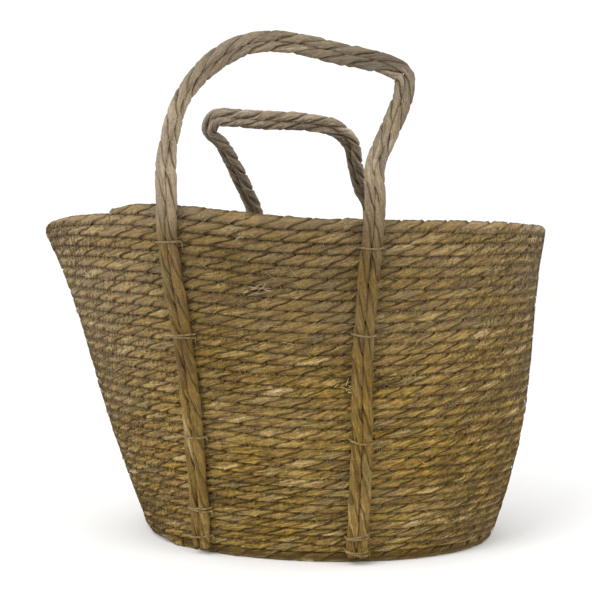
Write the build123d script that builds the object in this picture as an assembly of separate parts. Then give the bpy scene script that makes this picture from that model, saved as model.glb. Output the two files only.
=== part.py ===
from build123d import *
import math
import os

# Seagrass storage basket. One twisted seagrass cord is coiled into an oval base, a flaring wall and a
# rim. Two rope handles, each of two cords side by side, run down the wall as straps that twine ties
# hold to it. Each handle swings about the rope's bend just above the rim.
# Origin: centre of the base's underside. +X along the long side, -Y to the front, +Z up. Millimetres.

# ---- Driving dimensions ----
CORD = 8.5                # diameter of the seagrass cord, and so the wall's and the base's thickness
ROPE = 8.0                # diameter of the cords of the handles and straps
RIM_CORD = 9.2            # the last course is laid with a slightly thicker cord
WALL_TOP = 259.0          # height of the wall where the rim course begins
BASE_HALF_LENGTH = 151.0  # outer half-axes of the oval at the floor
BASE_HALF_WIDTH = 116.0
RIM_HALF_LENGTH = 217.0   # and at the top of the wall
RIM_HALF_WIDTH = 147.0
RIM_SHIFT = -20.5         # the wall leans towards -X on its way up
SHIFT_CURVE = 1.7         # and leans more the higher it gets
BASE_TURN = -8.0          # degrees that the oval is turned at the floor
BELLY = 2.6               # the wall swells out low down and draws in below the rim
SWELL = 4.0               # and is a little fuller halfway up
WALL_LEVELS = 9           # ovals that each wall surface is lofted through

GAP = 0.3                 # clearance between a handle's two cords
WALL_GAP = 0.8            # clearance of a strap on the wall
EDGE_ROUND = 4.0          # rounding of the base's lower and upper edge

FRONT_HINGE_Y = -146.5    # each handle bends about a line along X, level with these points
FRONT_HINGE_Z = 281.5
BACK_HINGE_Y = 149.5
BACK_HINGE_Z = 272.5
BACK_LEAN = 40.0          # degrees that the back handle leans in over the mouth at rest
STRAP_DROP = 7.6          # a strap's top stops this far below the bend, so that the handle can fold
STRAP_FOOT = 7.0          # height of a strap's trimmed lower end

TWINE = 1.6               # diameter of the ties
TIE_GAP = 0.5             # clearance of a tie round the strap
TIE_CORNER = 3.0          # radius at the corners of a tie's loop

# Where each strap's centre runs, as (x, height), from its foot to just under the bend.
STRAP_ROUTES = {
    "front_left": [
        (-86.0, STRAP_FOOT), (-86.5, 40), (-88.0, 74), (-90.0, 108), (-93.0, 142), (-97.0, 176),
        (-102.0, 209), (-105.5, 236), (-107.0, 258),
    ],
    "front_right": [
        (35.0, STRAP_FOOT), (37.0, 40), (38.5, 72), (39.5, 104), (39.3, 138), (40.3, 172), (42.5, 206),
        (45.0, 234), (47.5, 256),
    ],
    "back_left": [
        (-51.0, STRAP_FOOT), (-53.5, 44), (-56.0, 80), (-58.0, 116), (-59.0, 150), (-61.0, 184),
        (-64.0, 216), (-67.0, 250),
    ],
    "back_right": [
        (39.0, STRAP_FOOT), (40.0, 46), (42.0, 82), (43.0, 118), (43.2, 152), (44.5, 186), (46.5, 218),
        (48.0, 250),
    ],
}

# Heights of the twine ties on each strap.
TIE_HEIGHTS = {
    "front_left": [16, 38, 98, 176, 249],
    "front_right": [10, 22, 98, 179, 244],
    "back_left": [13, 48, 105, 172, 242],
    "back_right": [12, 36, 101, 181, 247],
}

# Each handle's centre line in its own plane, as (x, distance above the bend), from left to right.
FRONT_ARCH = [
    (-107.0, 0), (-107.0, 26), (-103.0, 52), (-95.5, 74), (-84.5, 90), (-69.5, 103), (-50.5, 113),
    (-28.0, 116.5), (-4.0, 113.5), (19.0, 107.8), (41.0, 103), (58.5, 98), (70.5, 90), (70.8, 78),
    (65.0, 61), (56.5, 41), (49.5, 22), (49.5, 0),
]
BACK_ARCH = [
    (-70.5, 0), (-70.5, 22), (-79.5, 51), (-88.0, 79), (-97.0, 101), (-107.0, 114), (-100.0, 128.5),
    (-81.0, 128.5), (-57.0, 126), (-32.0, 125), (-7.5, 122.5), (13.0, 116), (27.0, 101), (31.0, 77),
    (36.5, 52), (47.0, 24), (47.0, 0),
]

# The coil's end rides up over the rim course at the front left, as angles round the oval in degrees.
END_START = 274.0
END_STOP = 236.0
END_RISE = 8.2
END_LIFT = 1.5            # height of its first point over the rim course's middle
ARC_SHARE = 0.45          # how much of the shorter run each arc of a route may use up

PAIR_PITCH = ROPE + GAP   # centre to centre of a handle's two cords


def wall_oval(height):
    """Half-length, half-width, centre x and turn (radians) of the wall's outside at a height."""
    up = height / WALL_TOP
    belly = BELLY * math.sin(2 * math.pi * up) + SWELL * math.sin(math.pi * up) ** 2
    half_length = BASE_HALF_LENGTH + (RIM_HALF_LENGTH - BASE_HALF_LENGTH) * up + belly
    half_width = BASE_HALF_WIDTH + (RIM_HALF_WIDTH - BASE_HALF_WIDTH) * up + belly
    return half_length, half_width, RIM_SHIFT * max(up, 0) ** SHIFT_CURVE, math.radians(BASE_TURN) * (1 - up)


def oval_plane(height):
    """The plane of the wall's oval at a height, turned with it."""
    _, _, centre_x, turn = wall_oval(height)
    return Plane(origin=(centre_x, 0, height), x_dir=(math.cos(turn), math.sin(turn), 0), z_dir=(0, 0, 1))


def oval_section(height, inset=0.0):
    """The filled oval at a height, drawn in by an inset."""
    half_length, half_width, _, _ = wall_oval(height)
    return oval_plane(height) * Ellipse(half_length - inset, half_width - inset)


def wall_at(x, height, side):
    """The point where the wall's outside has this x, on the front (-1) or back (+1), and its normal."""
    half_length, half_width, centre_x, turn = wall_oval(height)
    reach = math.hypot(half_length * math.cos(turn), half_width * math.sin(turn))
    lag = math.atan2(half_width * math.sin(turn), half_length * math.cos(turn))
    angle = side * math.acos((x - centre_x) / reach) - lag
    across, deep = half_length * math.cos(angle), half_width * math.sin(angle)
    y = across * math.sin(turn) + deep * math.cos(turn)
    normal = Vector(math.cos(angle) / half_length, math.sin(angle) / half_width, 0)
    return Vector(x, y, height), normal.rotate(Axis.Z, math.degrees(turn)).normalized()


def side_of(strap):
    """-1 for a strap on the front of the basket, +1 for one on the back."""
    return -1 if strap.startswith("front") else 1


def arc_radii(points):
    """The largest radius that fits each corner of a route without using up its two runs."""
    radii = []
    for before, corner, after in zip(points, points[1:], points[2:]):
        arriving, leaving = corner - before, after - corner
        half_turn = math.radians(arriving.get_angle(leaving)) / 2
        radii.append(ARC_SHARE * min(arriving.length, leaving.length) / math.tan(half_turn))
    return radii


def cord_along(points, diameter):
    """A round cord along straight runs joined by tangent arcs."""
    radii = arc_radii(points)
    route = FilletPolyline(*points, radius=radii)
    start = Plane(origin=route @ 0, z_dir=route % 0)
    print(f"   route {route.length:6.1f} mm, tightest radius {min(radii):5.1f} mm")
    return sweep(start * Circle(diameter / 2), path=route)


def beside(points, distance):
    """The flat (x, height) route moved sideways: a positive distance is to the left of its direction."""
    moved = []
    for index, (x, z) in enumerate(points):
        before = points[max(index - 1, 0)]
        after = points[min(index + 1, len(points) - 1)]
        arriving = math.atan2(z - before[1], x - before[0]) if index else None
        leaving = math.atan2(after[1] - z, after[0] - x) if index < len(points) - 1 else None
        arriving = leaving if arriving is None else arriving
        leaving = arriving if leaving is None else leaving
        half_turn = math.remainder(leaving - arriving, 2 * math.pi) / 2
        across = arriving + half_turn + math.pi / 2
        reach = distance / math.cos(half_turn)
        moved.append((x + reach * math.cos(across), z + reach * math.sin(across)))
    return moved


# ---- The coiled body ----

def make_base_coil():
    """The oval floor of the basket: the coil's flat turns, with its rounded outer edge."""
    half_length, half_width, _, _ = wall_oval(0)
    slab = extrude(oval_plane(0) * Ellipse(half_length, half_width), amount=CORD)
    return fillet(slab.edges(), radius=EDGE_ROUND)


def make_wall_coil():
    """The flaring wall: one cord thick, standing on the base's outer edge."""
    heights = [CORD + (WALL_TOP - CORD) * level / (WALL_LEVELS - 1) for level in range(WALL_LEVELS)]
    outside = loft([oval_section(height) for height in heights])
    inside = loft([oval_section(height, inset=CORD) for height in heights])
    return outside - inside


def make_rim_coil():
    """The last full course: a thicker ring of cord on top of the wall."""
    middle = WALL_TOP + RIM_CORD / 2
    half_length, half_width, _, _ = wall_oval(WALL_TOP)
    path = oval_plane(middle) * Edge.make_ellipse(half_length - RIM_CORD / 2, half_width - RIM_CORD / 2)
    start = Plane(origin=path @ 0, z_dir=path % 0)
    return sweep(start * Circle(RIM_CORD / 2), path=path)


def make_coil_end():
    """The coil's last stretch, which climbs onto the rim course and is cut off blunt."""
    half_length, half_width, centre_x, _ = wall_oval(WALL_TOP)
    steps = 5
    points = []
    for step in range(steps + 1):
        along = step / steps
        angle = math.radians(END_START + (END_STOP - END_START) * along)
        x = centre_x + (half_length - RIM_CORD / 2) * math.cos(angle)
        y = (half_width - RIM_CORD / 2) * math.sin(angle)
        points.append(Vector(x, y, WALL_TOP + RIM_CORD / 2 + END_LIFT + END_RISE * along))
    return cord_along(points, CORD)


# ---- The straps down the wall ----

def make_strap(strap, sideways, hinge_y, hinge_z, hinge_x):
    """One of a strap's two cords: it lies on the wall and ends just under the handle's bend."""
    side = side_of(strap)
    points = []
    for x, height in beside(STRAP_ROUTES[strap], sideways):
        on_wall, normal = wall_at(x, height, side)
        points.append(on_wall + normal * (ROPE / 2 + WALL_GAP))
    points.append(Vector(hinge_x, hinge_y, hinge_z - STRAP_DROP))
    return cord_along(points, ROPE)


# ---- The twine ties ----

def strap_centre(strap, height):
    """The x of a strap's centre line at a height."""
    route = STRAP_ROUTES[strap]
    for (low_x, low), (high_x, high) in zip(route, route[1:]):
        if low <= height <= high:
            return low_x + (high_x - low_x) * (height - low) / (high - low)


def make_tie(strap, height):
    """A loop of twine round both cords of a strap, stitched through the wall."""
    on_wall, normal = wall_at(strap_centre(strap, height), height, side_of(strap))
    inner, outer = -CORD - TIE_GAP - TWINE / 2, WALL_GAP + ROPE + TIE_GAP + TWINE / 2
    width = PAIR_PITCH / abs(normal.Y) + ROPE + 2 * TIE_GAP + TWINE
    middle = on_wall + normal * (inner + outer) / 2
    plane = Plane(origin=middle, x_dir=normal, z_dir=(0, 0, 1))
    path = plane * RectangleRounded(outer - inner, width, TIE_CORNER).wire()
    start = Plane(origin=path @ 0, z_dir=path % 0)
    return sweep(start * Circle(TWINE / 2), path=path)


# ---- The handles ----

def make_grip(arch, sideways, hinge_y, hinge_z, lean):
    """One of a handle's two cords, bend to bend, rounded off at each end about the hinge line."""
    points = [Vector(x, hinge_y, hinge_z + up) for x, up in beside(arch, sideways)]
    grip = cord_along(points, ROPE)
    for end in (points[0], points[-1]):
        grip = grip + Pos(*end) * Sphere(ROPE / 2)
    return grip.rotate(Axis((0, hinge_y, hinge_z), (1, 0, 0)), lean)


# Where a cord lies in a handle: outside or inside its loop.
LAYS = {"outer": PAIR_PITCH / 2, "inner": -PAIR_PITCH / 2}


def save(name, shape):
    """Writes one piece to its own file."""
    shape.label = name
    export_step(shape, f"parts/{name}.step")
    print(f"{name:28s} {shape.volume / 1000:9.2f} cm3")


HANDLES = {
    "front": (FRONT_ARCH, FRONT_HINGE_Y, FRONT_HINGE_Z, 0),
    "back": (BACK_ARCH, BACK_HINGE_Y, BACK_HINGE_Z, BACK_LEAN),
}

os.makedirs("parts", exist_ok=True)
save("base_coil", make_base_coil())
save("wall_coil", make_wall_coil())
save("rim_coil", make_rim_coil())
save("coil_end", make_coil_end())

for handle, (arch, hinge_y, hinge_z, lean) in HANDLES.items():
    for lay, sideways in LAYS.items():
        save(f"{handle}_grip_{lay}", make_grip(arch, sideways, hinge_y, hinge_z, lean))
        ends = beside(arch, sideways)
        left_x, right_x = ends[0][0], ends[-1][0]
        save(f"{handle}_left_strap_{lay}", make_strap(f"{handle}_left", sideways, hinge_y, hinge_z, left_x))
        save(f"{handle}_right_strap_{lay}", make_strap(f"{handle}_right", -sideways, hinge_y, hinge_z, right_x))

for strap, heights in TIE_HEIGHTS.items():
    for number, height in enumerate(heights, start=1):
        save(f"{strap}_tie_{number}", make_tie(strap, height))
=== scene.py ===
"""Looks of the seagrass storage basket: every course of the coil, every rope, tie and stitch as real twisted
strands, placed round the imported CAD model. Metres, in the CAD model's frame: -Y is the front, +Z is up."""
import collections
import math

import bpy
import numpy as np
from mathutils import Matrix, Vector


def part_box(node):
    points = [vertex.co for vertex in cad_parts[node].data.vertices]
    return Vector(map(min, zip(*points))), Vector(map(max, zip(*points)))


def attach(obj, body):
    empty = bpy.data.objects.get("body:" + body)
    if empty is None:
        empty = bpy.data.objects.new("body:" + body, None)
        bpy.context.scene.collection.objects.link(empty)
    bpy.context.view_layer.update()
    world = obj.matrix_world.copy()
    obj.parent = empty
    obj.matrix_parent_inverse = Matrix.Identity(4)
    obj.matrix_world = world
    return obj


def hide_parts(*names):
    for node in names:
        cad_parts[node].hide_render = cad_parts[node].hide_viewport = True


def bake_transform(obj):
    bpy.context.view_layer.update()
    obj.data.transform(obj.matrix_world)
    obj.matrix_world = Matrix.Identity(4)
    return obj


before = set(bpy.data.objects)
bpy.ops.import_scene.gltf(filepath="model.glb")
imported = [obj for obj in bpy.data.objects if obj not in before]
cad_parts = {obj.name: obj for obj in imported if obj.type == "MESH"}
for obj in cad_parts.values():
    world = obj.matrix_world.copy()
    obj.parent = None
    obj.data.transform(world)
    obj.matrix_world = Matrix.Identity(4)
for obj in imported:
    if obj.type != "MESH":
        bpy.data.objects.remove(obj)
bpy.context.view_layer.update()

MM = 0.001
SEED = 11

# ---- Sizes that the CAD model sets ----
RIM_LOW, RIM_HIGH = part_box("rim_coil")
BASE_LOW, BASE_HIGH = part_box("base_coil")
CORD = BASE_HIGH[2]                       # diameter of the coil's cord
RIM_CORD = RIM_HIGH[2] - RIM_LOW[2]
WALL_TOP = RIM_LOW[2]                     # where the rim course begins
RIM_TOP = RIM_HIGH[2]
RIM_HALF_LENGTH = (RIM_HIGH[0] - RIM_LOW[0]) / 2
RIM_HALF_WIDTH = (RIM_HIGH[1] - RIM_LOW[1]) / 2
RIM_SHIFT = (RIM_HIGH[0] + RIM_LOW[0]) / 2
BASE_HALF_LENGTH = 151 * MM
BASE_HALF_WIDTH = 116 * MM
BASE_TURN = math.radians(-8)              # how far the oval is turned at the floor
SHIFT_CURVE = 1.7                         # the oval's middle moves over mostly in the upper wall
BELLY = 2.6 * MM                          # the wall swells out low down and draws in below the rim
SWELL = 4.0 * MM                          # and is a little fuller halfway up
ROPE = 8.0 * MM                           # diameter of the handles' cords
WALL_GAP = 0.8 * MM                       # clearance of a strap on the wall
PAIR_PITCH = ROPE + 0.3 * MM              # centre to centre of a handle's two cords

# ---- How the coil is laid ----
TURNS = 32                                # levels from the top of the floor's cord to the rim's top
PITCH_GROWTH = 0.13                       # courses get thicker on the way up
COIL_START = math.radians(230.5)          # where a turn begins and ends, as an angle round the oval
CLIMB_START = math.radians(280)           # a turn climbs to the next level between here and COIL_START
EVEN_TURNS = 7                            # the lowest turns climb all the way round instead
FIRST_CLIMB = 0.07                        # share of a turn in which it climbs onto the floor's outer cord
END_TAPER = 0.02                          # share of a turn over which the cord's end gets thinner
JUST_INSIDE = 1e-9                        # keeps a point on a turn's end from counting with the next turn
TURN_STEPS = 480                          # points along one turn
TURNS_PER_PIECE = 3
COIL_LAY = 40 * MM                        # length of one full twist of the cord
OVERLAP_OUT = 1.02                        # the cord is this much deeper and taller than its course, so
OVERLAP_UP = 1.13                         # that neighbours press into each other
FLOOR_TURNS = 13.36                       # turns of the floor's coil
FLOOR_STEPS = 300                         # points along one of them

# ---- A strand of a two-ply cord, as shares of the cord's half-size ----
PLY_OUT = 0.42                            # from the cord's middle to the strand's
PLY_HALF_DEPTH = 0.57
PLY_HALF_WIDTH = 0.86
FLAT_PLY_HALF_WIDTH = 0.90                # in a cord that is pressed between others
PLY_RADIUS = 0.7                          # what the UVs take as its radius
RIDGES = (0.060, 0.045, 0.030)            # heights of its five, three and eight ridges
PLY_SIDES = 22                            # points round a strand
COUNTER_TWIST = 0.88                      # how far a strand's own twist lays its leaves along the cord
LINGER = 0.24                             # a strand turns slower while it lies across, so its ends are long
CORE_DEPTH, CORE_HEIGHT = 0.35, 1.03      # half-sizes of a cord's inside, which is painted dark as shade
CORE_SIDES = 8
GRAIN_START = 4000                        # keeps grain numbers positive
GRAIN_APART = 900                         # the second strand's are shifted by up to this much
PLY_UV_APART = 37.3                       # metres between the UVs of a cord's two strands

# ---- The handles' ropes, as in the CAD model: (x, height) in millimetres ----
STRAP_ROUTES = {
    "front_left": [(-86.0, 7), (-86.5, 40), (-88.0, 74), (-90.0, 108), (-93.0, 142), (-97.0, 176),
                   (-102.0, 209), (-105.5, 236), (-107.0, 258)],
    "front_right": [(35.0, 7), (37.0, 40), (38.5, 72), (39.5, 104), (39.3, 138), (40.3, 172), (42.5, 206),
                    (45.0, 234), (47.5, 256)],
    "back_left": [(-51.0, 7), (-53.5, 44), (-56.0, 80), (-58.0, 116), (-59.0, 150), (-61.0, 184),
                  (-64.0, 216), (-67.0, 250)],
    "back_right": [(39.0, 7), (40.0, 46), (42.0, 82), (43.0, 118), (43.2, 152), (44.5, 186), (46.5, 218),
                   (48.0, 250)],
}
TIE_HEIGHTS = {
    "front_left": [16, 38, 98, 176, 249],
    "front_right": [10, 22, 98, 179, 244],
    "back_left": [13, 48, 105, 172, 242],
    "back_right": [12, 36, 101, 181, 247],
}
FRONT_ARCH = [
    (-107.0, 0), (-107.0, 26), (-103.0, 52), (-95.5, 74), (-84.5, 90), (-69.5, 103), (-50.5, 113),
    (-28.0, 116.5), (-4.0, 113.5), (19.0, 107.8), (41.0, 103), (58.5, 98), (70.5, 90), (70.8, 78),
    (65.0, 61), (56.5, 41), (49.5, 22), (49.5, 0),
]
BACK_ARCH = [
    (-70.5, 0), (-70.5, 22), (-79.5, 51), (-88.0, 79), (-97.0, 101), (-107.0, 114), (-100.0, 128.5),
    (-81.0, 128.5), (-57.0, 126), (-32.0, 125), (-7.5, 122.5), (13.0, 116), (27.0, 101), (31.0, 77),
    (36.5, 52), (47.0, 24), (47.0, 0),
]
HINGES = {"front": (-146.5 * MM, 281.5 * MM), "back": (149.5 * MM, 272.5 * MM)}     # y, z
LEANS = {"front": 0.0, "back": math.radians(40)}
ARCHES = {"front": FRONT_ARCH, "back": BACK_ARCH}

# ---- How the handles look, beyond the CAD model ----
ROLLS = {"front": 0.0, "back": math.radians(-30)}   # how far a handle's two cords lie rolled over
SHOULDERS = {"front": 0.385, "back": 0.62}          # where along a handle they lie most over one another
SHOULDER_REACH = 0.045                              # share of a handle's length that this takes
SHOULDER_ROLL = 0.9                                 # radians
FULLNESS = {"front": 1.0, "back": 1.14}             # thickness of a handle's cords over the rim
ROPE_FULLNESS = 1.05                                # and of all ropes, against the CAD model's
ROPE_CLOSE, CLOSER_ABOVE = 0.93, 0.09               # how close two cords lie, and closer over the rim
STRAP_LAY = 54 * MM                                 # length of one full twist on the wall
ARCH_LAY = 40 * MM                                  # and over the rim
TWINE = 1.6 * MM
TWINE_LAY = 7 * MM
TIE_SQUARENESS = 0.42                               # 1 is an oval loop, and less is squarer
DOUBLE_TIES = 0.35                                  # share of ties that go round twice

# ---- Stitching and broken leaf ----
STITCH_STEPS = 960                                  # points of the zigzag in one turn
THREAD_RADIUS = 0.27 * MM
FIBRES = 1500
LEAVES_PER_TUFT = 11
FRAYS = [(-40, 212, 15), (28, 139, 12), (-48, 254, 8), (-180, 224, 9)]    # x, height and spread in mm
STUB_LEAVES = 12
STUB_X, STUB_UP = 58 * MM, 58 * MM                  # its x, and its height over the hinge line


# ---- Small tools ----

def smooth(t):
    """0 to 1 with a soft start and end."""
    t = np.clip(t, 0, 1)
    return t * t * (3 - 2 * t)


def unit(vectors):
    return vectors / np.sqrt((vectors ** 2).sum(-1, keepdims=True))


def wander(along, spacing, amount, rng):
    """A smooth random curve over the given lengths, with a new value about every spacing."""
    knots = int(math.ceil((along[-1] - along[0]) / spacing)) + 3
    values = rng.uniform(-amount, amount, knots)
    place = (along - along[0]) / spacing
    low = np.floor(place).astype(int)
    return values[low] + (values[low + 1] - values[low]) * smooth(place - low)


def arc_length(points):
    steps = np.sqrt((np.diff(points, axis=0) ** 2).sum(1))
    return np.concatenate([[0], np.cumsum(steps)])


def smooth_curve(points, step):
    """A smooth curve through a few points, sampled evenly."""
    points = np.array(points, float)
    knots = arc_length(points[:, :3])
    slopes = np.gradient(points, knots, axis=0)
    place = np.linspace(0, knots[-1], int(knots[-1] / step * 4))
    low = np.clip(np.searchsorted(knots, place, side="right") - 1, 0, len(knots) - 2)
    span = (knots[low + 1] - knots[low])[:, None]
    t = (place - knots[low])[:, None] / span
    fine = ((2 * t ** 3 - 3 * t ** 2 + 1) * points[low] + (t ** 3 - 2 * t ** 2 + t) * span * slopes[low]
            + (3 * t ** 2 - 2 * t ** 3) * points[low + 1] + (t ** 3 - t ** 2) * span * slopes[low + 1])
    length = arc_length(fine[:, :3])
    even = np.linspace(0, length[-1], int(length[-1] / step) + 1)
    return np.stack([np.interp(even, length, column) for column in fine.T], 1)


def uneven_twist(along, lay, rng):
    """The angle of an S-twist that is tighter in some stretches than in others."""
    return -2 * np.pi * along / lay + wander(along, 160 * MM, 1.3, rng) + wander(along, 30 * MM, 0.38, rng)


Tube = collections.namedtuple("Tube", "grid along girth open_to_light grain spin offset")


class Strands:
    """Collects tubes and makes one mesh of them. Its UV layer is in metres along and round each tube, and
    the layer OFBake lays the tubes out as rows. The attribute "open" is 1 where a point lies on the
    outside of its cord and 0 deep in a crease, "grain" counts how often the strand has come to the surface,
    and "rest" is where the point is when nothing has moved."""

    ROW_SLACK = 1.02
    ROW_EDGE = 0.06                       # free share of a row at each of its two edges

    def __init__(self):
        self.tubes = []

    def add(self, grid, along, girth, open_to_light, grain, spin, offset=0.0):
        """A tube through grid[rings, sides, 3], pressed flat where it meets the floor. spin shifts the UVs
        round the tube, so that the leaves lie along the cord while the strand turns about it."""
        grid[..., 2] = np.maximum(grid[..., 2], 0)
        self.tubes.append(Tube(grid, along, girth, open_to_light, grain, spin, offset))

    def mesh(self, name, material, body=None):
        """One object of all the tubes, on a body if one is given."""
        data = self.layout()
        mesh = bpy.data.meshes.new(name)
        fill_mesh(mesh, {key: np.concatenate(values) for key, values in data.items()})
        mesh.materials.append(material)
        piece = bpy.data.objects.new(name, mesh)
        bpy.context.scene.collection.objects.link(piece)
        if body:
            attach(piece, body)
        return piece

    def layout(self):
        """Points, faces, UVs and point values of the tubes. In OFBake they lie end to end in rows, and a
        long tube takes several."""
        total = sum(tube.along[-1] - tube.along[0] for tube in self.tubes)
        row_length = math.sqrt(total * max(tube.girth for tube in self.tubes)) * self.ROW_SLACK
        data = collections.defaultdict(list)
        base = row = 0
        start = 0.0
        for tube in self.tubes:
            rings, sides, _ = tube.grid.shape
            i, j = np.meshgrid(np.arange(rings - 1), np.arange(sides), indexing="ij")
            i, j = i.ravel(), j.ravel()
            k = (j + 1) % sides
            quads = np.stack([i * sides + j, i * sides + k, (i + 1) * sides + k, (i + 1) * sides + j], 1)
            length = tube.along - tube.along[0]
            ring = np.stack([i, i, i + 1, i + 1], 1)
            turn = np.stack([j, j + 1, j + 1, j], 1) / sides
            if start > 0 and start + length[-1] > row_length:
                row, start = row + 1, 0.0
            rows_needed = max(1, math.ceil(length[-1] / row_length))
            segments = math.ceil((rings - 1) / rows_needed)
            strip = i // segments
            place = start + (length[ring] - length[strip * segments][:, None])
            rise = row + strip[:, None] + self.ROW_EDGE + (1 - 2 * self.ROW_EDGE) * turn
            data["points"].append(tube.grid.reshape(-1, 3))
            data["open"].append(tube.open_to_light.ravel())
            data["grain"].append(np.repeat(tube.grain, sides))
            data["corners"].append((quads + base).ravel())
            data["sizes"].append(np.full(len(quads), 4))
            around = turn * tube.girth + tube.spin[ring]
            data["UVMap"].append(np.stack([(length[ring] + tube.offset).ravel(), around.ravel()], 1))
            data["OFBake"].append(np.stack([place.ravel(), rise.ravel()], 1))
            for cap in (np.arange(sides)[::-1], (rings - 1) * sides + np.arange(sides)):
                data["corners"].append(cap + base)
                data["sizes"].append(np.array([sides]))
                data["UVMap"].append(np.tile([[length[0] + tube.offset, 0]], (sides, 1)))
                data["OFBake"].append(np.tile([[start, row + 0.5]], (sides, 1)))
            base += rings * sides
            if rows_needed > 1:
                row, start = row + rows_needed, 0.0
            else:
                start += length[-1] * self.ROW_SLACK
        bake = np.concatenate(data["OFBake"])
        data["OFBake"] = [bake / [bake[:, 0].max() * 1.001, row + 1]]
        return data


def fill_mesh(mesh, data):
    """Writes the points, faces, UV layers and point attributes of a layout into an empty mesh."""
    points, corners, sizes = data["points"], data["corners"], data["sizes"]
    mesh.vertices.add(len(points))
    mesh.vertices.foreach_set("co", points.astype(np.float32).ravel())
    mesh.loops.add(len(corners))
    mesh.loops.foreach_set("vertex_index", corners.astype(np.int32))
    mesh.polygons.add(len(sizes))
    first_corners = np.concatenate([[0], np.cumsum(sizes)[:-1]])
    mesh.polygons.foreach_set("loop_start", first_corners.astype(np.int32))
    mesh.polygons.foreach_set("use_smooth", sizes == 4)
    for layer in ("UVMap", "OFBake"):
        mesh.uv_layers.new(name=layer).data.foreach_set("uv", data[layer].astype(np.float32).ravel())
    for layer in ("open", "grain"):
        attribute = mesh.attributes.new(layer, "FLOAT", "POINT")
        attribute.data.foreach_set("value", data[layer].astype(np.float32))
    attribute = mesh.attributes.new("rest", "FLOAT_VECTOR", "POINT")
    attribute.data.foreach_set("vector", points.astype(np.float32).ravel())
    mesh.update(calc_edges=True)


def swept(path, normal, side, x, y):
    """The grid of a section that is carried along a path, with x along the normal and y along the side."""
    return path[:, None] + x[..., None] * normal[:, None] + y[..., None] * side[:, None]


def add_core(strands, path, normal, side, half_depth, half_height, along):
    """The inside of a cord, painted dark as shade, which closes the pinholes where its strands meet those of
    its neighbours.
    """
    around = np.linspace(0, 2 * np.pi, CORE_SIDES, endpoint=False)[None]
    x = CORE_DEPTH * np.cos(around) * np.reshape(half_depth, (-1, 1))
    y = CORE_HEIGHT * np.sin(around) * np.reshape(half_height, (-1, 1))
    grid = swept(path, normal, side, x, y)
    # The whole core gets the strongest painted crease shade.
    dark = np.zeros(grid.shape[:2])
    strands.add(grid, along, 4 * float(np.mean(half_height)), dark, 0 * along, 0 * along)


def ply_section(turn, around, along, rng, flat):
    """A strand's outline at each point of a cord that has a half-size of 1: x, y and how open it lies."""
    size = 1 + wander(along, 55 * MM, 0.08, rng)[:, None] + wander(along, 14 * MM, 0.07, rng)[:, None]
    crease = wander(along, 22 * MM, 2.6, rng)[:, None]
    fold = wander(along, 30 * MM, 3.0, rng)[:, None]
    fives, threes, eights = RIDGES
    ridges = 1 + fives * np.cos(5 * around + crease) + threes * np.cos(3 * around + fold)
    ridges = ridges + eights * np.cos(8 * around - crease - fold)
    out = PLY_OUT + PLY_HALF_DEPTH * np.cos(around) * ridges * size
    over = (FLAT_PLY_HALF_WIDTH if flat else PLY_HALF_WIDTH) * np.sin(around) * ridges * size
    x = out * np.cos(turn) - over * np.sin(turn)
    y = out * np.sin(turn) + over * np.cos(turn)
    # How open a point lies. The material paints shade where it is low: deep in a crease, and at a flat cord's
    # top and bottom edges.
    depth = np.abs(x) if flat else np.hypot(x, y)
    return x, y, smooth((depth - 0.25) / 0.55) * smooth((np.hypot(x, y) - 0.50) / 0.38)


def add_cord(strands, path, normal, half_depth, half_height, twist, along, rng, flat=False, cored=False,
             sides=PLY_SIDES):
    """A two-ply cord. normal points out of its visible side; half_depth is its half-size along that and
    half_height across it. A flat cord is one of many side by side, so that its edges lie in creases. A
    cored one has an inside that is painted dark as shade."""
    tangent = unit(np.gradient(path, axis=0))
    normal = unit(normal - tangent * (normal * tangent).sum(1, keepdims=True))
    side = np.cross(tangent, normal)
    around = np.linspace(-np.pi, np.pi, sides, endpoint=False)[None]
    girth = 2 * np.pi * PLY_RADIUS * float(np.mean(half_depth))
    for ply in (0, 1):
        turn = (twist + math.pi * ply)[:, None]
        grain = np.floor(turn[:, 0] / math.pi + 0.5) + GRAIN_START + rng.integers(0, GRAIN_APART) * ply
        turn = turn + LINGER * np.sin(2 * turn)
        x, y, open_to_light = ply_section(turn, around, along, rng, flat)
        x, y = x * np.reshape(half_depth, (-1, 1)), y * np.reshape(half_height, (-1, 1))
        spin = COUNTER_TWIST * turn[:, 0] * girth / (2 * np.pi)
        strands.add(swept(path, normal, side, x, y), along, girth, open_to_light, grain, spin,
                    offset=float(along[0]) + PLY_UV_APART * ply)
    if cored:
        add_core(strands, path, normal, side, half_depth, half_height, along)


def add_thread(strands, path, radius, sides=4, taper=False):
    """A thin single strand along a path. Its leaves and tone depend on where it starts."""
    tangent = unit(np.gradient(path, axis=0))
    reference = np.where(np.abs(tangent[:, 2:]) > 0.8, [[1.0, 0, 0]], [[0, 0, 1.0]])
    across = unit(np.cross(tangent, reference))
    other = np.cross(tangent, across)
    around = np.linspace(0, 2 * np.pi, sides, endpoint=False)
    thick = radius * (1 - 0.75 * np.linspace(0, 1, len(path)) ** 2 if taper else np.ones(len(path)))
    ring = np.cos(around)[None, :, None] * across[:, None] + np.sin(around)[None, :, None] * other[:, None]
    along = arc_length(path)
    grid = path[:, None] + thick[:, None, None] * ring
    grain = np.full(len(path), math.floor(float(path[0, 0]) * 9000))
    strands.add(grid, along, 2 * np.pi * radius, np.ones((len(path), sides)), grain, 0 * along,
                offset=float(path[0, 0]) * 7)


# ---- The wall's surface ----

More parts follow.
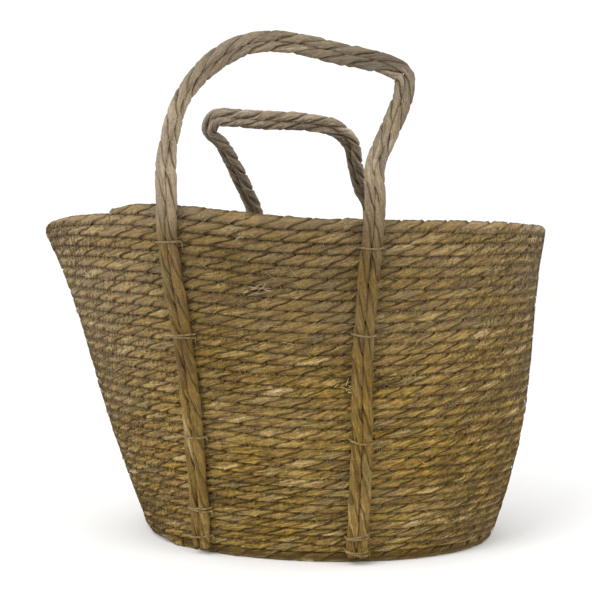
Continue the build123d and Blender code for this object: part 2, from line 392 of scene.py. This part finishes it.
def wall_oval(height):
    """Half-length, half-width, centre x and turn of the wall's outside at a height."""
    up = np.clip(height / WALL_TOP, 0, 1)
    belly = BELLY * np.sin(2 * np.pi * up) + SWELL * np.sin(np.pi * up) ** 2
    half_length = BASE_HALF_LENGTH + (RIM_HALF_LENGTH - BASE_HALF_LENGTH) * up + belly
    half_width = BASE_HALF_WIDTH + (RIM_HALF_WIDTH - BASE_HALF_WIDTH) * up + belly
    return half_length, half_width, RIM_SHIFT * up ** SHIFT_CURVE, BASE_TURN * (1 - up)


def on_oval(angle, height, inset):
    """Points on the wall, drawn in from its outside by an inset, and the level normals there."""
    half_length, half_width, centre_x, turn = wall_oval(height)
    x = (half_length - inset) * np.cos(angle)
    y = (half_width - inset) * np.sin(angle)
    c, s = np.cos(turn), np.sin(turn)
    points = np.stack([centre_x + x * c - y * s, x * s + y * c, height + 0 * x], -1)
    nx, ny = np.cos(angle) / (half_length - inset), np.sin(angle) / (half_width - inset)
    normals = np.stack([nx * c - ny * s, nx * s + ny * c, 0 * nx], -1)
    return points, unit(normals)


def wall_at(x, height, side, proud):
    """The point at this x and height that stands proud of the wall, on the front (-1) or back (+1)."""
    half_length, half_width, centre_x, turn = wall_oval(height)
    reach = math.hypot(half_length * math.cos(turn), half_width * math.sin(turn))
    lag = math.atan2(half_width * math.sin(turn), half_length * math.cos(turn))
    angle = side * math.acos((x - centre_x) / reach) - lag
    point, normal = on_oval(np.array(angle), np.array(height), 0.0)
    return point + normal * proud, normal


# ---- The coil ----

END_LIFTS = [(0, 0), (50, 0.8), (90, 2.5), (135, 6.0), (180, 7.5), (225, 4.0), (250, 0), (270, -5)]
RIM_PULL, PULL_ANGLE = 6.5 * MM, 212      # the rim is drawn up beside the front handle's left leg,
RIM_DIP, DIP_ANGLE = 3.2 * MM, 290        # and lies lower at the front right (degrees round the oval)
PULL_FROM, PULL_OVER = 150 * MM, 110 * MM  # height where both begin, and over which they grow


def near(angle, middle, narrowness):
    """1 at an angle round the oval, given in degrees, and falling off softly to both sides."""
    return np.exp(narrowness * (np.cos(angle - math.radians(middle)) - 1))


def sag(angle, height):
    """How much higher a course lies than in the middle of the front and back: the ends of the courses
    ride up halfway up the wall, the rim droops at both ends, and the front handle's left leg has pulled
    the rim up beside it, so that it dips again between the legs. END_LIFTS has heights and lifts in mm."""
    heights, lifts = np.array(END_LIFTS, float).T
    lift = np.interp(height, heights * MM, lifts * MM)
    pull = RIM_PULL * near(angle, PULL_ANGLE, 4.5) - RIM_DIP * near(angle, DIP_ANGLE, 5.0)
    return lift * np.abs(np.cos(angle) - 0.1) ** 3 + pull * smooth((height - PULL_FROM) / PULL_OVER)


def level(turns):
    """Height of a seam, given how many courses lie between it and the floor's cord."""
    t = turns / TURNS
    return CORD + (RIM_TOP - CORD) * ((1 - PITCH_GROWTH) * t + PITCH_GROWTH * t * t)


def seam_height(w):
    """Height of the seam under the coil after w turns. The first stretch climbs from the ground onto the
    floor's outer cord, and the first turn on it is a wedge."""
    turn = np.floor(w)
    part = w - turn
    climb_from = 1 - (CLIMB_START - COIL_START) / (2 * math.pi)
    local = np.clip((turn - 1) / EVEN_TURNS, 0, 1)
    rise = (1 - local) * part + local * smooth((part - climb_from) / (1 - climb_from))
    return np.where(w < 1, CORD * smooth(w / FIRST_CLIMB), level(np.maximum(turn - 1, 0) + rise))


def coil_path():
    """The whole wall and rim as one coil: path, normals, half-depths and half-heights."""
    rng = np.random.default_rng(SEED)
    w = np.arange(TURN_STEPS * (TURNS + 1) + 1) / TURN_STEPS
    angle = COIL_START - 2 * np.pi * w
    low, high = seam_height(np.maximum(w - JUST_INSIDE, 0)), seam_height(w + 1 - JUST_INSIDE)
    low, high = low + sag(angle, low), high + sag(angle, high)
    wobble = wander(np.arange(len(w) + TURN_STEPS) / TURN_STEPS, 0.035, 0.65 * MM, rng)
    wobble[:TURN_STEPS] = 0
    low, high = low + wobble[:len(w)], high + wobble[TURN_STEPS:]
    high = low + (high - low) * (0.50 + 0.50 * smooth((TURNS + 1 - w) / END_TAPER))
    half_height = np.maximum((high - low) / 2, 0.6 * MM)
    half_depth = np.where(w > TURNS, RIM_CORD, CORD) / 2
    inset = half_depth + 0.3 * MM + wander(w, 0.11, 0.5 * MM, rng) + wander(w, 0.027, 0.45 * MM, rng)
    points, normals = on_oval(angle, (low + high) / 2, inset)
    return points, normals, half_depth, half_height


def make_coil(material):
    """The wall and the rim, in pieces of a few turns each."""
    points, normals, half_depth, half_height = coil_path()
    along = arc_length(points)
    rng = np.random.default_rng(SEED + 1)
    twist = uneven_twist(along, COIL_LAY, rng)
    starts = list(range(0, TURNS, TURNS_PER_PIECE)) + [TURNS, TURNS + 1]
    for first, last in zip(starts, starts[1:]):
        part = slice(first * TURN_STEPS, last * TURN_STEPS + 1)
        on_top = first == TURNS
        strands = Strands()
        add_cord(strands, points[part], normals[part], half_depth[part] * OVERLAP_OUT,
                 half_height[part] * OVERLAP_UP, twist[part], along[part], rng, flat=True, cored=not on_top)
        piece = strands.mesh("rim_cord" if on_top else f"wall_cord_{first + 1:02d}", material, "basket")
        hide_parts(*(("rim_coil", "coil_end") if on_top else ("wall_coil",)))


def make_base(material):
    """The floor of the basket: the same cord coiled flat, from its outer edge inwards. Each turn steps in
    by one cord near its end, a little earlier every time."""
    w = np.arange(0, FLOOR_TURNS, 1 / FLOOR_STEPS)
    ring, part = np.floor(w), w - np.floor(w)
    step_from = 0.93 - 0.017 * ring
    inset = CORD * (0.5 + ring + smooth((part - step_from) / 0.07))
    rng = np.random.default_rng(SEED + 2)
    inset = inset + wander(w, 0.17, 0.3 * MM, rng)
    points, _ = on_oval(COIL_START + 2 * np.pi * w, np.zeros(len(w)), inset)
    points = smooth_curve(points, 3.4 * MM)
    points[:, 2] = CORD / 2
    along = arc_length(points)
    twist = uneven_twist(along, COIL_LAY, rng)
    down = np.tile([0.0, 0, -1], (len(points), 1))
    strands = Strands()
    add_cord(strands, points, down, CORD / 2 * 0.98, CORD / 2 * 1.05, twist, along, rng, flat=True,
             cored=True, sides=14)
    piece = strands.mesh("base_cord", material, "basket")
    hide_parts("base_coil")


# ---- The handles ----

def strap_line(strap, side):
    """Points and normals of a strap's centre line, from its foot to its top."""
    line = []
    for x, height in STRAP_ROUTES[strap]:
        point, normal = wall_at(x * MM, height * MM, side, ROPE / 2 + WALL_GAP)
        line.append(np.concatenate([point, normal]))
    return line


def handle_line(handle):
    """Points and normals of a handle's centre line: up one strap, over the arch and down the other."""
    side = -1 if handle == "front" else 1
    hinge_y, hinge_z = HINGES[handle]
    c, s = math.cos(LEANS[handle]), math.sin(LEANS[handle])
    arch = []
    for x, up in ARCHES[handle]:
        normal = (0, side * c, side * s)
        arch.append(np.array([x * MM, hinge_y - up * MM * s, hinge_z + up * MM * c, *normal]))
    arch[0][3:] = arch[-1][3:] = (0, side, 0)
    line = strap_line(f"{handle}_left", side) + arch + strap_line(f"{handle}_right", side)[::-1]
    return smooth_curve(line, 2.4 * MM)


def make_handle(handle, material):
    """A handle's two ropes side by side, from the foot of one strap to the foot of the other."""
    hinge_y, hinge_z = HINGES[handle]
    line = handle_line(handle)
    path, normal = line[:, :3], line[:, 3:]
    along = arc_length(path)
    tangent = unit(np.gradient(path, axis=0))
    normal = unit(normal - tangent * (normal * tangent).sum(1, keepdims=True))
    side = np.cross(normal, tangent)
    above = smooth((path[:, 2] - hinge_z) / (40 * MM))
    rng = np.random.default_rng(SEED + (3 if handle == "front" else 4))
    shoulder = np.exp(-((along / along[-1] - SHOULDERS[handle]) / SHOULDER_REACH) ** 2)
    roll = above * (wander(along, 55 * MM, 0.45, rng) + ROLLS[handle] + SHOULDER_ROLL * shoulder)
    lay = STRAP_LAY + (ARCH_LAY - STRAP_LAY) * above
    turns = np.concatenate([[0], np.cumsum(np.diff(along) / lay[1:])])
    aside = np.cos(roll)[:, None] * side + np.sin(roll)[:, None] * normal
    close = (ROPE_CLOSE - CLOSER_ABOVE * above)[:, None] * FULLNESS[handle]
    for lay_name, which in (("outer", 1), ("inner", -1)):
        wobble = wander(along, 30 * MM, 0.35 * MM, rng)[:, None]
        cord_path = path + (which * PAIR_PITCH / 2 * close + wobble) * aside
        swell = 1 + above * (FULLNESS[handle] - 1 + wander(along, 20 * MM, 0.10, rng))
        twist = -2 * np.pi * turns + wander(along, 80 * MM, 0.8, rng) + rng.uniform(0, 60)
        half_size = ROPE / 2 * ROPE_FULLNESS * swell
        strands = Strands()
        add_cord(strands, cord_path, normal, half_size, half_size, twist, along + rng.uniform(5, 30), rng)
        piece = strands.mesh(f"{handle}_rope_{lay_name}", material)
        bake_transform(piece)
        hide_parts(f"{handle}_grip_{lay_name}", f"{handle}_left_strap_{lay_name}",
                    f"{handle}_right_strap_{lay_name}")


# ---- The ties ----

def strap_centre(strap, height):
    """The x of a strap's middle at a height, both in millimetres."""
    route = STRAP_ROUTES[strap]
    return np.interp(height, [z for _, z in route], [x for x, _ in route])


def make_tie(strap, number, height, material):
    """A loop of twine round both cords of a strap and through the wall, with two short loose ends."""
    rng = np.random.default_rng(SEED + 100 * number + sum(map(ord, strap)))
    side = -1 if strap.startswith("front") else 1
    middle, normal = wall_at(strap_centre(strap, height) * MM, height * MM, side, 0.0)
    across = np.cross([0, 0, 1.0], normal)
    up = np.array([0, 0, 1.0])
    strands = Strands()
    tilt, droop = rng.uniform(-0.14, 0.14), rng.uniform(0.3, 1.6) * MM
    half_width = (PAIR_PITCH / abs(normal[1]) + ROPE) / 2 + 0.7 * MM
    deep, proud = CORD + 1.0 * MM, ROPE + WALL_GAP + 1.0 * MM
    for wrap in range(2 if rng.random() < DOUBLE_TIES else 1):
        ring = np.linspace(0, 2 * np.pi, 97)
        lateral = half_width * np.sign(np.cos(ring)) * np.abs(np.cos(ring)) ** TIE_SQUARENESS
        out = np.sign(np.sin(ring)) * np.abs(np.sin(ring)) ** TIE_SQUARENESS
        out = np.where(out > 0, out * proud, out * deep)
        lift = tilt * lateral - droop * np.clip(out / proud, 0, 1) * np.cos(lateral / half_width * 1.5)
        lift = lift + wrap * (1.7 * MM + 0.12 * lateral) + wander(ring, 0.9, 0.25 * MM, rng)
        path = middle + lateral[:, None] * across + out[:, None] * normal + lift[:, None] * up
        path = smooth_curve(path, 0.9 * MM)
        along = arc_length(path)
        outward = unit(path - middle - ((path - middle) @ up)[:, None] * up)
        twist = -2 * np.pi * along / TWINE_LAY
        add_cord(strands, path, outward, TWINE / 2, TWINE / 2, twist, along, rng, sides=8)
    handed = 1 if side < 0 else -1
    for tail in range(2):
        start = middle + (half_width + 0.3 * MM) * across * handed + normal * 2.5 * MM
        steps = np.linspace(0, 1, 9)[:, None]
        away = across * rng.uniform(1, 3) * MM * handed + normal * rng.uniform(0.2, 1.2) * MM
        fall = np.array([0, 0, -1.0]) * rng.uniform(3, 7) * MM * (1 if tail else 0.5)
        add_thread(strands, start + steps * away + steps ** 1.7 * fall, 0.55 * MM, sides=6, taper=True)
    piece = strands.mesh(f"{strap}_twine_{number}", material, "basket")
    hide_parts(f"{strap}_tie_{number}")


# ---- Stitching and loose fibres ----

def make_stitching(material):
    """The thread that zigzags from course to course, outside and inside the wall. It lies deep in the
    seams at the front and back and stands out of them at the basket's two ends."""
    for name, inset, inwards, seed in (("stitching_outside", 0.0, 1, 5), ("stitching_inside", CORD, -1, 6)):
        rng = np.random.default_rng(SEED + seed)
        strands = Strands()
        for turn in range(1, TURNS + 1):
            w = turn + np.arange(STITCH_STEPS + 1) / STITCH_STEPS
            angle = COIL_START - 2 * np.pi * w
            seam = seam_height(w - JUST_INSIDE)
            seam = seam + sag(angle, seam)
            pitch = level(turn) - level(turn - 1)
            zigzag = np.array([-1.0, -0.15, 1.0, 0.15])[np.arange(STITCH_STEPS + 1) % 4]
            reach = pitch * (0.36 + wander(w, 0.01, 0.18, rng))
            shift = wander(w, 0.004, 0.011, rng)
            ends = smooth((np.abs(np.cos(angle)) - 0.50) / 0.30)
            tuck = (1 - ends) * (0.75 + wander(w, 0.02, 0.7, rng)) - ends * 0.35 + wander(w, 0.012, 0.35, rng)
            path, _ = on_oval(angle + shift, seam + zigzag * reach, inset + inwards * tuck * MM)
            add_thread(strands, path, THREAD_RADIUS, sides=3)
        piece = strands.mesh(name, material, "basket")


def make_fibres(material):
    """Broken fibres that stand off the coil here and there."""
    rng = np.random.default_rng(SEED + 7)
    strands = Strands()
    steps = np.linspace(0, 1, 7)
    for _ in range(FIBRES):
        angle, height = rng.uniform(0, 2 * np.pi), rng.uniform(6, 262) * MM
        length, slant = rng.uniform(4, 16) * MM, rng.normal(0.25, 0.45)
        lifted = rng.uniform(0.4, 2.2) * MM
        half_length = wall_oval(height)[0]
        run = angle + steps * length * math.cos(slant) / half_length * rng.choice([-1, 1])
        rise = height + steps * length * math.sin(slant)
        rise = np.maximum(rise + sag(run, rise), 1.5 * MM)
        path, _ = on_oval(run, rise, 0.2 * MM - lifted * steps ** 2)
        add_thread(strands, path, rng.uniform(0.09, 0.2) * MM, sides=3, taper=True)
    piece = strands.mesh("loose_fibres", material, "basket")


def make_wall_frays(material, rng):
    """The four tufts of broken leaf that stand out most on the front wall."""
    strands = Strands()
    steps = np.linspace(0, 1, 8)[:, None]
    for x, height, spread in FRAYS:
        start, normal = wall_at(x * MM, height * MM, -1, 0.0)
        for _ in range(LEAVES_PER_TUFT):
            heading = rng.normal(0.25, 0.4)
            away = np.array([math.cos(heading), 0, math.sin(heading)]) * rng.choice([-1, 1, 1])
            reach = rng.uniform(0.25, 0.75) * spread * MM
            root = start + np.array([rng.normal(0, 0.35 * spread), 0, rng.normal(0, 1.4)]) * MM
            curl = np.array([0, 0, rng.uniform(-2.5, 2.5)]) * MM * steps ** 2
            arch = normal * (rng.uniform(0.5, 2.0) * MM * np.sin(steps * 2.6))
            path = root + steps * reach * away + curl + arch
            add_thread(strands, path, rng.uniform(0.25, 0.60) * MM, sides=4, taper=True)
    piece = strands.mesh("wall_frays", material, "basket")


def make_stub(material, rng):
    """The frayed stub inside the front handle's right leg."""
    hinge_y, hinge_z = HINGES["front"]
    root = np.array([STUB_X, hinge_y - 2 * MM, hinge_z + STUB_UP])
    strands = Strands()
    steps = np.linspace(0, 1, 8)[:, None]
    for _ in range(STUB_LEAVES):
        aim = np.array([-rng.uniform(4, 8), -rng.uniform(0, 3), rng.uniform(-5, 2)]) * MM
        path = root + np.array([3, 0, rng.normal(0, 1.2)]) * MM + steps * aim
        add_thread(strands, path, rng.uniform(0.25, 0.55) * MM, sides=4, taper=True)
    piece = strands.mesh("handle_stub", material, "front_handle")


# ---- Materials ----

class Shader:
    """Short ways to add and join the nodes of one material."""

    def __init__(self, name):
        self.material = bpy.data.materials.new(name)
        self.material.use_nodes = True
        self.tree = self.material.node_tree
        self.surface = self.tree.nodes["Principled BSDF"]

    def node(self, kind, inputs=None, **settings):
        node = self.tree.nodes.new(kind)
        for key, value in settings.items():
            setattr(node, key, value)
        for key, value in (inputs or {}).items():
            if isinstance(value, bpy.types.NodeSocket):
                self.tree.links.new(value, node.inputs[key])
            else:
                node.inputs[key].default_value = value
        return node

    def scaled(self, vector, scale):
        return self.node("ShaderNodeMapping", {"Vector": vector, "Scale": scale}).outputs[0]

    def noise(self, vector, scale, detail=2.0, roughness=0.5):
        return self.node("ShaderNodeTexNoise", {"Vector": self.scaled(vector, scale), "Scale": 1.0,
                                                "Detail": detail, "Roughness": roughness}).outputs["Fac"]

    def span(self, value, low, high, to_low, to_high):
        """Maps low..high onto to_low..to_high, and holds the ends."""
        return self.node("ShaderNodeMapRange", {"Value": value, "From Min": low, "From Max": high,
                                                "To Min": to_low, "To Max": to_high}).outputs[0]

    def math(self, operation, a, b):
        return self.node("ShaderNodeMath", {0: a, 1: b}, operation=operation).outputs[0]

    def add(self, a, b):
        return self.math("ADD", a, b)

    def times(self, a, b):
        return self.math("MULTIPLY", a, b)

    def mix(self, factor, a, b, kind="MIX"):
        node = self.node("ShaderNodeMix", {0: factor, 6: a, 7: b}, data_type="RGBA", blend_type=kind)
        return node.outputs[2]

    def attribute(self, name):
        return self.node("ShaderNodeAttribute", attribute_name=name)

    def ramp(self, value, stops):
        node = self.node("ShaderNodeValToRGB", {"Fac": value})
        elements = node.color_ramp.elements
        for _ in range(len(stops) - 2):
            elements.new(0.5)
        for element, (place, colour) in zip(elements, stops):
            element.position = place
            element.color = (*colour, 1)
        return node.outputs["Color"]


# Linear colours of single leaves, from the dark ones to the bleached ones.
LEAVES = [(0.0, (0.085, 0.045, 0.007)), (0.22, (0.162, 0.092, 0.013)), (0.40, (0.212, 0.126, 0.016)),
          (0.55, (0.272, 0.166, 0.021)), (0.68, (0.248, 0.144, 0.032)), (0.82, (0.318, 0.208, 0.052)),
          (1.0, (0.500, 0.366, 0.140))]
# DEEP is the dark brown of the painted shade in creases, and also of the dark flecks and the darker patch on
# the upper wall.
DEEP = (0.058, 0.031, 0.004, 1)
GREY = (0.292, 0.226, 0.150, 1)
GREEN = (0.150, 0.128, 0.055, 1)
PALE = (0.620, 0.500, 0.270, 1)
STREAKS = [(0.0, (0.16, 0.125, 0.085)), (1.0, (1.76, 1.83, 2.15))]
BUMP_HEIGHT = 1.6 * MM

# Where the colour changes on the object, in metres: from the first place to the second.
OVER_RIM = (0.240, 0.300)                 # heights
ARCH_TOP = (0.355, 0.380)
UPPER_WALL = (0.10, 0.27)
RIM_COURSE = (0.252, 0.266)
LEFT_END = (-0.06, -0.20)                 # places along x
RIGHT_END = (0.08, 0.19)


def bleach_and_shade(s, colour, across, depth_place, height):
    """The handles are paler and greyer than the wall where they stand over the rim. On top of that, light and
    shade
    are painted on them: the front handle's left leg is painted palest, as if lit from the front left, and its
    arch darkest as painted shade, with the back handle in between and its legs painted darker than its top as
    shade."""
    over_rim = s.span(height, *OVER_RIM, 0.0, 1.0)
    arch_top = s.span(height, *ARCH_TOP, 0.0, 1.0)
    # Painted light and shade: the front handle's left leg brightest, its arch top and right side darker.
    front_light_and_shade = s.times(s.span(arch_top, 0.0, 1.0, 1.52, 0.98), s.span(across, -0.02, 0.05, 1.0, 0.76))
    # Painted shade: the back handle's legs darker than its top bar.
    back_light_and_shade = s.span(arch_top, 0.0, 1.0, 1.17, 1.26)
    at_back = s.span(depth_place, 0.0, 0.05, 0.0, 1.0)
    value = s.add(front_light_and_shade, s.times(at_back, s.math("SUBTRACT", back_light_and_shade, front_light_and_shade)))
    saturation = s.span(at_back, 0.0, 1.0, 0.66, 0.62)
    pale = s.node("ShaderNodeHueSaturation", {"Color": colour, "Saturation": saturation, "Value": value})
    return s.mix(over_rim, colour, pale.outputs[0])


def leaf_colour(s, leaf):
    """A tone for each single leaf and for each grain of the cord, with a green one now and then."""
    leaf_tone = s.node("ShaderNodeSeparateColor", {0: leaf.outputs["Color"]})
    number = s.math("FLOOR", s.attribute("grain").outputs["Fac"], 0.0)
    grain = s.node("ShaderNodeTexWhiteNoise", {"W": number}, noise_dimensions="1D")
    grain_tone = s.node("ShaderNodeSeparateColor", {0: grain.outputs["Color"]})
    tone = s.add(s.times(leaf_tone.outputs[0], 0.52), s.times(grain_tone.outputs[0], 0.48))
    return s.mix(s.span(grain_tone.outputs[1], 0.86, 0.97, 0, 0.45), s.ramp(tone, LEAVES), GREEN)


def fine_pattern(s, uv, bent):
    """Streaks and veins along the leaves, and crumples in them, as one value round 0.5."""
    streaks = s.noise(bent, (70, 650, 1), 3.0, 0.65)
    veins = s.noise(bent, (110, 1900, 1), 2.0, 0.6)
    crumple = s.noise(uv, (260, 330, 1), 2.0, 0.6)
    fine = s.add(s.times(streaks, 0.45), s.times(veins, 0.35))
    return s.add(fine, s.times(crumple, 0.20))


def weathered(s, colour, place, across, height, grey):
    """The slow drift from golden at the lower middle to greyer at the top, the rim and both ends, and a
    darker patch in the upper middle."""
    drift = s.noise(place, (9, 9, 18), 2.0)
    greyness = s.add(s.span(height, *UPPER_WALL, 0.0, 0.34), s.span(drift, 0.35, 0.7, -0.15, 0.25))
    ends = s.add(s.span(across, *LEFT_END, 0.0, 0.60), s.span(across, *RIGHT_END, 0.0, 0.45))
    greyness = s.add(greyness, s.times(ends, s.span(height, 0.05, 0.24, 0.45, 1.0)))
    greyness = s.add(greyness, s.span(height, *RIM_COURSE, 0.0, 0.35))
    dusk = s.times(s.span(height, 0.10, 0.23, 0.06, 0.55), s.span(across, -0.16, -0.08, 0.0, 1.0))
    dusk = s.times(dusk, s.span(across, 0.04, 0.13, 1.0, 0.25))
    colour = s.mix(s.times(dusk, s.span(height, 0.26, 0.29, 1.0, 0.0)), colour, DEEP)
    greyness = s.math("MAXIMUM", s.add(greyness, grey), 0.0)
    return s.mix(greyness, colour, s.mix(0.5, colour, GREY))


def specked(s, colour, uv):
    """Small dark and pale flecks."""
    specks = s.noise(uv, (700, 900, 1), 1.0)
    colour = s.mix(s.span(specks, 0.62, 0.70, 0, 0.55), colour, DEEP)
    return s.mix(s.span(specks, 0.38, 0.30, 0, 0.22), colour, PALE)


def seagrass(name, grey=0.0, bleached_and_shaded=False, depth=1.0, light=(1, 1, 1, 1), streakiness=1.0):
    """Dried seagrass leaves twisted into a strand. grey adds to the greyness of the whole, depth sets how
    strong the painted shade in its creases is, light multiplies its colour, and streakiness is how much the
    streaks show."""
    s = Shader(name)
    uv = s.node("ShaderNodeUVMap", uv_map="UVMap").outputs[0]
    place = s.attribute("rest").outputs["Vector"]
    across, depth_place, height = s.node("ShaderNodeSeparateXYZ", {0: place}).outputs
    sway = s.node("ShaderNodeTexNoise", {"Vector": s.scaled(uv, (50, 50, 1)), "Scale": 1.0}).outputs["Color"]
    bent = s.node("ShaderNodeVectorMath", {0: uv, 1: s.scaled(sway, (0.0, 0.0030, 0))},
                  operation="ADD").outputs[0]
    leaf = s.node("ShaderNodeTexVoronoi", {"Vector": s.scaled(bent, (17, 300, 1)), "Scale": 1.0},
                  voronoi_dimensions="2D")
    fine = fine_pattern(s, uv, bent)
    colour = leaf_colour(s, leaf)
    colour = s.mix(streakiness, colour, s.ramp(s.span(fine, 0.39, 0.61, 0, 1), STREAKS), "MULTIPLY")
    colour = weathered(s, colour, place, across, height, grey)
    colour = specked(s, colour, uv)
    colour = s.mix(1.0, colour, light, "MULTIPLY")
    # On the handles: paler and greyer over the rim, with painted light and shade on their legs and arches.
    if bleached_and_shaded:
        colour = bleach_and_shade(s, colour, across, depth_place, height)
    # Painted shade: the colour goes towards dark brown deep in the creases and at each strand's edges, where
    # shade falls.
    crease = s.times(s.span(s.attribute("open").outputs["Fac"], 0.0, 0.95, 1.0, 0.0), 0.88 * depth)
    s.tree.links.new(s.mix(crease, colour, DEEP), s.surface.inputs["Base Color"])
    s.tree.links.new(s.span(fine, 0.3, 0.7, 0.88, 0.62), s.surface.inputs["Roughness"])
    edges = s.span(leaf.outputs["Distance"], 0.0, 0.55, 1.0, 0.0)
    relief = s.add(fine, s.times(edges, 0.5))
    bump = s.node("ShaderNodeBump", {"Height": relief, "Strength": 1.0, "Distance": BUMP_HEIGHT})
    s.tree.links.new(bump.outputs[0], s.surface.inputs["Normal"])
    s.surface.inputs["Specular IOR Level"].default_value = 0.22
    s.surface.inputs["Sheen Weight"].default_value = 0.04
    s.surface.inputs["Sheen Roughness"].default_value = 0.5
    return s.material


def plain_floor():
    s = Shader("pale_floor")
    place = s.node("ShaderNodeTexCoord").outputs["Object"]
    colour = s.ramp(s.noise(place, (3, 3, 3)), [(0.0, (0.93, 0.93, 0.925)), (1.0, (0.95, 0.95, 0.945))])
    s.tree.links.new(colour, s.surface.inputs["Base Color"])
    s.surface.inputs["Roughness"].default_value = 0.9
    s.surface.inputs["Specular IOR Level"].default_value = 0.1
    return s.material


# ---- Camera, floor and light ----

def make_camera():
    """At the photograph's viewing angle: level with the upper wall, turned by about 4 degrees."""
    data = bpy.data.cameras.new("camera")
    data.sensor_width = 36
    data.lens = 66.7
    data.clip_start = 0.05
    camera = bpy.data.objects.new("camera", data)
    camera.location = (0.0456, -0.9646, 0.2265)
    camera.rotation_euler = (math.radians(90 - 1.28), 0, math.radians(3.84))
    bpy.context.scene.collection.objects.link(camera)
    bpy.context.scene.camera = camera


def make_floor():
    mesh = bpy.data.meshes.new("floor")
    reach = 12
    mesh.from_pydata([(-reach, -reach, 0), (reach, -reach, 0), (reach, reach, 0), (-reach, reach, 0)], [],
                     [(0, 1, 2, 3)])
    mesh.materials.append(plain_floor())
    floor = bpy.data.objects.new("floor", mesh)
    bpy.context.scene.collection.objects.link(floor)


def make_light(name, location, size, power, colour=(1, 1, 1)):
    """A square soft light that faces the basket."""
    data = bpy.data.lights.new(name, "AREA")
    data.size = size
    data.energy = power
    data.color = colour
    light = bpy.data.objects.new(name, data)
    light.location = location
    x, y, z = location
    light.rotation_euler = (math.atan2(math.hypot(x, y), z - 0.18), 0, math.atan2(x, -y))
    bpy.context.scene.collection.objects.link(light)


def make_studio():
    scene = bpy.context.scene
    scene.view_settings.view_transform = "Standard"
    world = bpy.data.worlds.new("studio")
    scene.world = world
    world.use_nodes = True
    world.node_tree.nodes["Background"].inputs[0].default_value = (1.0, 1.0, 1.0, 1)
    world.node_tree.nodes["Background"].inputs[1].default_value = 1.06
    make_light("key", (-0.9, -1.3, 1.7), 1.2, 22)
    make_light("fill", (1.3, -1.0, 0.9), 1.2, 7)


make_camera()
make_floor()
make_studio()

coil_material = seagrass("seagrass_coil_laid")
rope_material = seagrass("seagrass_rope_laid", grey=-0.12, bleached_and_shaded=True, depth=0.85,
                         light=(0.82, 0.80, 0.80, 1), streakiness=0.6)
twine_material = seagrass("seagrass_twine_laid", grey=0.2, depth=0.4, light=(1.05, 1.10, 1.20, 1))
thread_material = seagrass("seagrass_thread", grey=0.1, depth=0.0, light=(0.80, 0.80, 0.80, 1))
fibre_material = seagrass("seagrass_fibres", grey=0.3, depth=0.0, light=(1.9, 2.1, 2.6, 1), streakiness=0.3)

make_coil(coil_material)
make_base(coil_material)
for handle in ("front", "back"):
    make_handle(handle, rope_material)
for strap, heights in TIE_HEIGHTS.items():
    for number, height in enumerate(heights, start=1):
        make_tie(strap, number, height, twine_material)
make_stitching(thread_material)
make_fibres(fibre_material)
fray_rng = np.random.default_rng(SEED + 8)
make_wall_frays(fibre_material, fray_rng)
make_stub(fibre_material, fray_rng)
